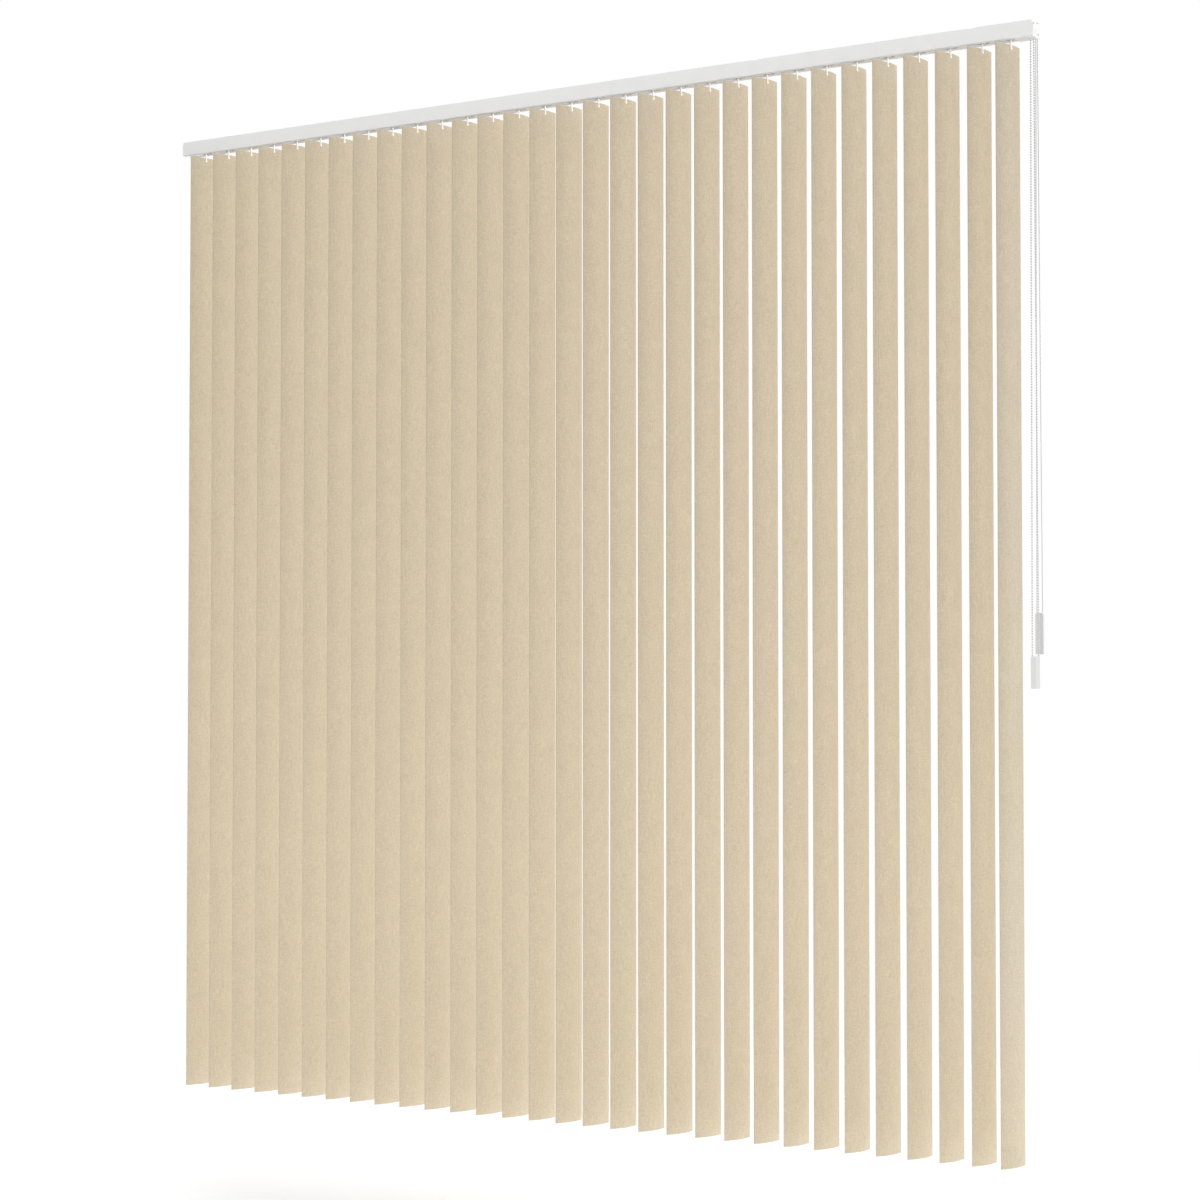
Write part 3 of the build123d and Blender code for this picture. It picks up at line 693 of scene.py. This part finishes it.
@dataclass
class Studio:
    """Plain pale floor, soft light and the camera.

    Attributes:
        camera_place: Place of the camera.
        camera_pitch: Upward turn of the camera from level, in degrees.
        camera_yaw: Turn of the camera about Z, in degrees.
        lens: Focal length in millimetres on a 36 mm sensor.
        floor_gap: Floor below the lowest point of the blind.
        floor_size: Side of the square floor.
        panel_spread: Angle that each panel fills, in degrees.
        fill: Brightness of the light from all round.
        end_light: Strength of the panel at the control end.
        room_light: Strength of the panel on the room side.
        window_light: Strength of the panel on the window side.
        ceiling_light: Strength of the panel overhead.
    """

    camera_place: Point = (3.7243, -5.60585, -1.51056)
    camera_pitch: float = 1.962
    camera_yaw: float = 32.939
    lens: float = 81.35
    floor_gap: float = 0.30
    floor_size: float = 7.0
    panel_spread: float = 40.0
    fill: float = 0.30
    end_light: float = 0.75
    room_light: float = 0.34
    window_light: float = 0.36
    ceiling_light: float = 0.52

    def build(self) -> None:
        """Set up the camera, the floor and the light."""
        self.camera()
        self.floor()
        self.light()

    def camera(self) -> None:
        """Place the camera and make it the scene's."""
        data = bpy.data.cameras.new("studio_camera")
        data.lens = self.lens
        data.sensor_width = 36.0
        data.sensor_fit = "AUTO"
        data.clip_end = 60.0
        camera = bpy.data.objects.new("studio_camera", data)
        camera.location = self.camera_place
        pitch = math.radians(90 + self.camera_pitch)
        camera.rotation_euler = (pitch, 0.0, math.radians(self.camera_yaw))
        bpy.context.scene.collection.objects.link(camera)
        bpy.context.scene.camera = camera

    def floor(self) -> None:
        """Lay a plain pale floor that stays out of the model."""
        bpy.ops.object.select_all(action="DESELECT")
        height = CAD_BOX[0].z - self.floor_gap
        bpy.ops.mesh.primitive_plane_add(size=self.floor_size, location=(0, 0, height))
        floor = bpy.context.object
        floor.name = "studio_floor"
        Finish(
            "studio_floor",
            (0.96, 0.96, 0.96),
            grain_size=4 * MM,
            grain_share=0.003,
            cloud_size=1.5,
            cloud_share=0.005,
            scuff_share=0.0,
            relief=0.001 * MM,
            roughness=(0.8, 0.9),
            specular=0.1,
        ).dress(floor)
        Bench.settle(floor)

    def light(self) -> None:
        """Fill the studio with soft white light, with a broad panel on each open side."""
        scene = bpy.context.scene
        scene.view_settings.view_transform = "Standard"
        world = bpy.data.worlds.new("studio_air")
        world.use_nodes = True
        tree = world.node_tree
        fill = next(n for n in tree.nodes if n.type == "BACKGROUND")
        fill.inputs["Strength"].default_value = self.fill
        wall = tree.nodes.new("ShaderNodeBackground")
        wall.inputs["Strength"].default_value = 1.0
        for shade in (fill, wall):
            shade.inputs["Color"].default_value = (1.0, 1.0, 1.0, 1.0)
        ray = tree.nodes.new("ShaderNodeLightPath")
        choice = tree.nodes.new("ShaderNodeMixShader")
        tree.links.new(ray.outputs["Is Camera Ray"], choice.inputs[0])
        tree.links.new(fill.outputs[0], choice.inputs[1])
        tree.links.new(wall.outputs[0], choice.inputs[2])
        output = next(n for n in tree.nodes if n.type == "OUTPUT_WORLD")
        tree.links.new(choice.outputs[0], output.inputs["Surface"])
        scene.world = world
        self.panel("end_panel", (0.93, 0.36, 0.2), self.end_light, shadow=False)
        self.panel("room_panel", (-0.34, -0.92, 0.2), self.room_light, shadow=True)
        self.panel("window_panel", (-0.3, 0.92, 0.2), self.window_light, shadow=False)
        self.panel("ceiling_panel", (0.05, -0.05, 1.0), self.ceiling_light, shadow=True)

    def panel(self, name: str, source: Point, strength: float, shadow: bool) -> None:
        """Add a broad, distant soft light.

        Args:
            name: Name of the light.
            source: Direction that it shines from.
            strength: Brightness that it gives to white card held square to it.
            shadow: Whether it casts shadows.
        """
        data = bpy.data.lights.new(name, "SUN")
        data.energy = strength * math.pi
        data.angle = math.radians(self.panel_spread)
        data.use_shadow = shadow
        lamp = bpy.data.objects.new(name, data)
        lamp.rotation_euler = Vector(source).to_track_quat("Z", "Y").to_euler()
        bpy.context.scene.collection.objects.link(lamp)


# ---- loops that work the blind ----


@dataclass
class Strand:
    """One open run of cord or bead chain along a smooth line.

    Attributes:
        name: Name of the piece.
        route: Control points of its line, in millimetres.
        diameter: Diameter of the cord or of the beads, in metres.
        thread_radius: Radius of the thread between beads, in metres.
    """

    name: str
    route: tuple[Point, ...]
    diameter: float
    thread_radius: float = 0.4 * MM

    def line(self) -> bpy.types.Object:
        """Draw the strand's line.

        Returns:
            Curve object with one open spline.
        """
        data = bpy.data.curves.new(self.name, "CURVE")
        data.dimensions = "3D"
        data.resolution_u = 24
        spline = data.splines.new("NURBS")
        spline.points.add(len(self.route) - 1)
        for point, place in zip(spline.points, self.route):
            point.co = (*[c * MM for c in place], 1.0)
        spline.order_u = 3
        spline.use_endpoint_u = True
        line = bpy.data.objects.new(self.name, data)
        bpy.context.scene.collection.objects.link(line)
        return line

    def middle(self, line: bpy.types.Object) -> list[Point]:
        """Read the points of the strand's line.

        Args:
            line: Its curve object, with no bevel.

        Returns:
            Points along the line.
        """
        bpy.context.view_layer.update()
        graph = bpy.context.evaluated_depsgraph_get()
        mesh = bpy.data.meshes.new_from_object(line.evaluated_get(graph))
        points = [tuple(v.co) for v in mesh.vertices]
        bpy.data.meshes.remove(mesh)
        return points

    def cord(self) -> bpy.types.Object:
        """Make the strand as a round cord.

        Returns:
            The cord.
        """
        cord = self.line()
        cord.data.bevel_depth = self.diameter / 2
        cord.data.bevel_resolution = 3
        cord.data.use_fill_caps = True
        return cord

    def beads(self, pitch: float) -> tuple[bpy.types.Object, list[Point]]:
        """Make the strand as moulded beads on a thin thread.

        Args:
            pitch: Distance from bead to bead.

        Returns:
            The chain, and the points of its line.
        """
        line = self.line()
        points = self.middle(line)
        length = sum(math.dist(a, b) for a, b in zip(points, points[1:]))
        count = round(length / pitch)
        step = length / count
        bpy.ops.object.select_all(action="DESELECT")
        bpy.ops.mesh.primitive_uv_sphere_add(
            segments=8,
            ring_count=6,
            radius=self.diameter / 2,
            location=(step / 2, 0, 0),
            rotation=(0, math.pi / 2, 0),
        )
        bead = bpy.context.object
        Bench.settle(bead)
        bpy.ops.object.shade_smooth()
        along = (0, math.pi / 2, 0)
        thread = Bench.bar("thread", self.thread_radius, (step / 2, 0, 0), step, along, 5)
        Bench.pick_faces(thread, lambda centre, normal: abs(normal.x) > 0.9)
        bpy.ops.mesh.delete(type="FACE")
        bpy.ops.object.mode_set(mode="OBJECT")
        chain = Bench.join(self.name + "_beads", [bead, thread])
        Bench.modify(
            chain,
            "ARRAY",
            count=count,
            use_relative_offset=False,
            use_constant_offset=True,
            constant_offset_displace=(step, 0, 0),
        )
        Bench.modify(chain, "CURVE", object=line, deform_axis="POS_X")
        Bench.discard(line)
        return chain, points


@dataclass
class WeightedLoops:
    """Draw cord and bead chain, each in a loop that hangs in its weight.

    Attributes:
        cord_diameter: Diameter of the draw cord.
        bead_diameter: Diameter of a bead.
        bead_pitch: Distance from bead to bead.
        cord_length: Length of the hanging draw cord.
        chain_length: Length of the hanging bead chain.
    """

    cord_diameter: float = 2.2 * MM
    bead_diameter: float = 4.5 * MM
    bead_pitch: float = 6.0 * MM
    cord_length: float = 2.648
    chain_length: float = 2.842

    def build(self) -> None:
        """Make both loops with their weights."""
        self.chain_loop()
        self.cord_loop()
        self.inner_runs()

    def chain_loop(self) -> None:
        """Hang the bead chain."""
        route = (
            (1253, -15.194, -39.55),
            (1246.9, -9.96, -1435.5),
            (1246.819, -9.886, -1456.5),
            (1259.181, -3.314, -1456.5),
            (1259.1, -3.24, -1435.5),
            (1253, 1.994, -39.55),
        )
        chain, points = Strand("tilt_chain", route, self.bead_diameter).beads(self.bead_pitch)
        Bench.install(chain, ROOT_BODY, BEAD_PLASTIC, "bead_plastic", "bead_chain_loop")
        shells = self.weight("chain_weight")

    def cord_loop(self) -> None:
        """Hang the draw cord."""
        route = (
            (1255.9, 7.2, -39.55),
            (1248.97, 11.26, -1345.5),
            (1248.9, 11.3, -1359.5),
            (1262.9, 11.3, -1359.5),
            (1262.83, 11.34, -1345.5),
            (1255.9, 15.4, -39.55),
        )
        cord = Strand("draw_cord", route, self.cord_diameter).cord()
        Bench.install(cord, ROOT_BODY, CORD_BRAID, "white_cord", "draw_cord_loop")
        shells = self.weight("cord_weight")

    def weight(self, name: str) -> list[bpy.types.Object]:
        """Dress the two shells of a weight.

        Args:
            name: Start of the names of its CAD nodes.

        Returns:
            The shells and their wheel.
        """
        shells = [frame["nodes"][f"{name}_{side}"] for side in ("front", "rear")]
        for shell in shells:
            WEIGHT_PLASTIC.dress(shell)
            log.info("%s: %s", shell.name, WEIGHT_PLASTIC.name)
        return [*shells, frame["nodes"][f"{name}_wheel"]]

    def inner_runs(self) -> None:
        """Lead the draw cord and the bead chain through the rail and its control housing."""
        over_sprocket = (
            (1253, -15.194, -39.5),
            (1253, -15.194, -28.6),
            (1253, -15.194, -11.406),
            (1253, 1.994, -11.406),
            (1253, 1.994, -28.6),
            (1253, 1.994, -39.5),
        )
        strand = Strand("chain_over_sprocket", over_sprocket, self.bead_diameter)
        chain, _ = strand.beads(self.bead_pitch)
        Bench.install(chain, ROOT_BODY, BEAD_PLASTIC, "bead_plastic", "bead_chain_on_sprocket")
        short_run = (
            (1203.5, 7.2, -12.0),
            (1244.9, 7.2, -12.0),
            (1255.9, 7.2, -12.0),
            (1255.9, 7.2, -23.0),
            (1255.9, 7.2, -39.5),
        )
        long_run = (
            (1191.5, 7.2, -12.0),
            (-1240.9, 7.2, -12.0),
            (-1249.1, 7.2, -12.0),
            (-1249.1, 15.4, -12.0),
            (-1240.9, 15.4, -12.0),
            (1244.9, 15.4, -12.0),
            (1255.9, 15.4, -12.0),
            (1255.9, 15.4, -23.0),
            (1255.9, 15.4, -39.5),
        )
        for name, route in (("rail_cord_short", short_run), ("rail_cord_long", long_run)):
            cord = Strand(name, route, self.cord_diameter).cord()
            Bench.install(cord, ROOT_BODY, CORD_BRAID, "white_cord", "draw_cord_in_rail")


def softened(node: str, name: str, width: float) -> bpy.types.Object:
    """Copy a CAD node's shape and round its edges.

    Args:
        node: CAD node to copy.
        name: Name of the new piece.
        width: Width of the rounding.

    Returns:
        The new piece.
    """
    piece = bpy.data.objects.new(name, frame["nodes"][node].data.copy())
    bpy.context.scene.collection.objects.link(piece)
    Bench.pick_faces(piece, lambda centre, normal: True)
    bpy.ops.mesh.remove_doubles(threshold=0.002 * MM)
    bpy.ops.mesh.dissolve_limited(angle_limit=math.radians(0.5))
    bpy.ops.object.mode_set(mode="OBJECT")
    Bench.round_edges(piece, width)
    return piece


# ---- vanes ----


@dataclass
class VaneRow:
    """Row of curved vanes that hang from hangers in the rail.

    Attributes:
        width: Width of a vane straight across its curve.
        length: Length of a vane.
        sagitta: Depth of its curve.
        thickness: Thickness of its sheet.
        top: Height of its top edge.
        angle: Stored turn of its chord from +X, in degrees.
        hole_drop: Hanger hole below the top edge.
        hole_radius: Radius of the hanger hole.
        hole_margin: Distance from the hole to the sheet's edge loops above and below it.
        lower_loops: Distances from the hole down to the sheet's other edge loops.
        edge: Rounding of a vane's edges.
        rail_bottom: Height of the rail's underside.
        rod_height: Height of the tilt rod.
        leg: Thickness of a hook's legs, and half its width.
        leg_play: Room between a vane and each leg of its hook.
        front_foot: Foot of the front leg, from the middle of the hole.
        back_foot: Foot of the back leg, from the middle of the hole.
        foot_rounding: Rounding of the front leg's lower corners.
        peg_play: Room round the peg in the hole.
        button_radius: Radius of the round button in front of the hole.
        button_depth: Thickness of that button.
        stem_radius: Radius of a hanger's stem.
        pinion_root: Radius of a hanger's pinion between its teeth.
        pinion_height: Height of the pinion.
        teeth: Number of its teeth.
        tooth_rise: Height of its teeth.
    """

    width: float = 89 * MM
    length: float = 2520 * MM
    sagitta: float = 9 * MM
    thickness: float = 0.8 * MM
    top: float = -47.5 * MM
    angle: float = 77.0
    hole_drop: float = 9 * MM
    hole_radius: float = 2.5 * MM
    hole_margin: float = 4.5 * MM
    lower_loops: tuple[float, ...] = (0.5, 1.2, 1.9)
    edge: float = 0.12 * MM
    rail_bottom: float = -37.5 * MM
    rod_height: float = -20 * MM
    leg: float = 1.5 * MM
    leg_play: float = 0.35 * MM
    front_foot: float = -2.8 * MM
    back_foot: float = 2.5 * MM
    foot_rounding: float = 1.2 * MM
    peg_play: float = 0.4 * MM
    button_radius: float = 2.7 * MM
    button_depth: float = 0.7 * MM
    stem_radius: float = 2.0 * MM
    pinion_root: float = 2.5 * MM
    pinion_height: float = 4.8 * MM
    teeth: int = 10
    tooth_rise: float = 0.66 * MM

    def build(self) -> None:
        """Make one vane and one hanger, and copy them along the rail."""
        sheet = self.sheet()
        hanger = self.hanger()
        for joint in frame["joints"]:
            body = joint["child"]
            if not body.startswith("vane_"):
                continue
            place = (joint["pos_m"][0], 0.0, 0.0)
            turn = math.radians(self.angle)
            number = body.removeprefix("vane_")
            vane = Bench.copy(sheet, f"vane_sheet_{number}", place, turn)
            Bench.install(vane, body, VANE_VINYL, "vane_pvc", body)
            hook = Bench.copy(hanger, f"vane_hanger_{number}", place, turn)
            Bench.install(hook, body, HANGER_PLASTIC, "white_moulding", body)
        Bench.discard(sheet, hanger)

    def sheet(self) -> bpy.types.Object:
        """Shape one curved vane with its chord along X and its hollow side towards +Y.

        Returns:
            The vane.
        """
        bend = ((self.width / 2) ** 2 + self.sagitta**2) / (2 * self.sagitta)
        half_angle = math.asin(self.width / 2 / bend)
        centre = (0.0, bend, 0.0)
        upright = (0.0, 0.0, 1.0)
        side = (-self.width / 2, self.sagitta, self.top - self.length / 2)
        strip = 1.0 * MM
        bpy.ops.object.select_all(action="DESELECT")
        bpy.ops.mesh.primitive_plane_add(size=1, location=side, rotation=(0.0, math.pi / 2, 0.0))
        vane = bpy.context.object
        vane.scale = (self.length, strip, 1.0)
        Bench.settle(vane)
        Bench.pick_edges(vane, lambda a, b: min(a.y, b.y) > self.sagitta)
        bpy.ops.mesh.delete(type="VERT")
        bpy.ops.mesh.select_all(action="SELECT")
        bpy.ops.transform.translate(value=(0.0, strip / 2, 0.0))
        bpy.ops.mesh.spin(steps=28, angle=-2 * half_angle, center=centre, axis=upright)
        bpy.ops.mesh.select_all(action="SELECT")
        bpy.ops.mesh.remove_doubles(threshold=0.01 * MM)
        bpy.ops.object.mode_set(mode="OBJECT")
        hole = self.top - self.hole_drop
        for drop in (-self.hole_margin, self.hole_margin, *self.lower_loops):
            Bench.bisect(vane, (0.0, 0.0, hole - drop), upright)
        Bench.modify(vane, "SOLIDIFY", thickness=self.thickness, offset=0.0)
        across = (math.pi / 2, 0.0, 0.0)
        punch = Bench.bar("punch", self.hole_radius, (0.0, 0.0, hole), 20 * MM, across, 24)
        Bench.modify(vane, "BOOLEAN", operation="DIFFERENCE", object=punch, solver="EXACT")
        Bench.discard(punch)
        Bench.pick_faces(vane, lambda place, normal: True)
        bpy.ops.mesh.normals_make_consistent(inside=False)
        bpy.ops.object.mode_set(mode="OBJECT")
        Bench.round_edges(vane, self.edge, angle=60.0)
        return vane

    def hanger(self) -> bpy.types.Object:
        """Shape one hanger: pinion, stem and the hook that holds a vane.

        Returns:
            The hanger.
        """
        gap = self.thickness / 2 + self.leg_play
        reach = gap + self.leg
        hole = self.top - self.hole_drop
        hook = self.hook(gap, reach, hole)

        across = (math.pi / 2, 0.0, 0.0)
        peg_radius = self.hole_radius - self.peg_play
        peg = Bench.bar("peg", peg_radius, (0, -self.leg / 2, hole), reach + gap, across, 20)
        Bench.round_edges(peg, 0.1 * MM)
        button_place = (0, -reach - self.button_depth / 2, hole)
        button = Bench.bar("button", self.button_radius, button_place, self.button_depth, across, 24)
        Bench.round_edges(button, 0.3 * MM)

        upright = (0.0, 0.0, 0.0)
        stem_top = self.rod_height - self.pinion_height / 2
        stem_bottom = self.rail_bottom - 2 * self.leg
        stem_place = (0, 0, (stem_top + stem_bottom) / 2)
        stem_height = stem_top - stem_bottom
        stem = Bench.bar("stem", self.stem_radius, stem_place, stem_height, upright, 20)
        Bench.round_edges(stem, 0.2 * MM)
        pinion_place = (0, 0, self.rod_height)
        sides = 2 * self.teeth
        pinion = Bench.bar("pinion", self.pinion_root, pinion_place, self.pinion_height, upright, sides)
        Bench.pick_faces(pinion, self.bears_tooth)
        bpy.ops.mesh.extrude_faces_move(TRANSFORM_OT_shrink_fatten={"value": self.tooth_rise})
        bpy.ops.object.mode_set(mode="OBJECT")
        return Bench.join("hanger", [hook, peg, button, stem, pinion])

    def hook(self, gap: float, reach: float, hole: float) -> bpy.types.Object:
        """Shape the block of a hanger, with a leg on each side of the vane.

        Args:
            gap: Distance from the middle of the vane to the inside of each leg.
            reach: Distance from the middle of the vane to their outside.
            hole: Height of the vane's hole.

        Returns:
            The hook.
        """
        neck = self.top + self.leg
        hook = Bench.block(
            "hook",
            (-self.leg, -reach, neck),
            (self.leg, reach, self.rail_bottom - self.leg),
        )
        for side in (-gap, gap):
            Bench.bisect(hook, (0.0, side, 0.0), (0.0, 1.0, 0.0))
        for way, drop in ((-1, self.front_foot), (1, self.back_foot)):
            Bench.pick_faces(hook, lambda centre, normal: normal.z < -0.9 and way * centre.y > gap)
            stretch = (0.0, 0.0, hole + drop - neck)
            bpy.ops.mesh.extrude_region_move(TRANSFORM_OT_translate={"value": stretch})
            bpy.ops.object.mode_set(mode="OBJECT")
        foot = hole + self.front_foot
        Bench.pick_edges(
            hook,
            lambda a, b: max(abs(a.z - foot), abs(b.z - foot), abs(a.x - b.x)) < 0.01 * MM,
        )
        bpy.ops.mesh.bevel(offset=self.foot_rounding, segments=4)
        bpy.ops.object.mode_set(mode="OBJECT")
        Bench.round_edges(hook, 0.25 * MM)
        return hook

    def bears_tooth(self, centre: Vector, normal: Vector) -> bool:
        """Tell whether a face of the pinion is one of the sides that bear a tooth.

        Args:
            centre: Centre of the face.
            normal: Normal of the face.

        Returns:
            True for every second side.
        """
        side = round(math.atan2(normal.y, normal.x) * self.teeth / math.pi - 0.5)
        return abs(normal.z) < 0.1 and side % 2 == 0


# ---- headrail and its ends ----


@dataclass
class Headrail:
    """Enamelled rail with its moulded ends and what runs inside it.

    Attributes:
        edge: Rounding of the moulded end covers.
    """

    edge: float = 0.3 * MM

    def build(self) -> None:
        """Mould the end covers and dress the rest of the rail."""
        for node in ("control_cover", "return_end_cap"):
            cover = softened(node, f"{node}_moulding", self.edge)
            Bench.install(cover, ROOT_BODY, WHITE_MOULDING, "white_moulding", node)
        finishes = {
            RAIL_ENAMEL: ("headrail",),
            WHITE_MOULDING: ("control_housing",),
            # grey acetal, darkened as painted shade for the rail's slot
            GREY_ACETAL_AND_SLOT_SHADE: (
                "carriers",
                "carrier_rollers",
                "worms",
                "cord_clamp",
                "cord_pulley_front",
                "cord_pulley_rear",
                "return_pulley",
                "chain_sprocket",
                "chain_weight_wheel",
                "cord_weight_wheel",
            ),
            BRIGHT_STEEL: (
                "ceiling_clips",
                "cover_screws",
                "cord_pulley_pin",
                "return_pulley_pin",
                "spacer_links",
            ),
            ROD_ALUMINIUM: ("tilt_rod",),
        }
        for finish, nodes in finishes.items():
            for node in nodes:
                finish.dress(frame["nodes"][node])
                log.info("%s: %s", node, finish.name)


def main() -> None:
    """Build the camera, the loops, the vanes and the rail."""
    logging.basicConfig(level=logging.INFO, format="%(message)s")
    Studio().build()
    WeightedLoops().build()
    VaneRow().build()
    Headrail().build()
    bpy.context.view_layer.update()


if __name__ == "__main__":
    main()
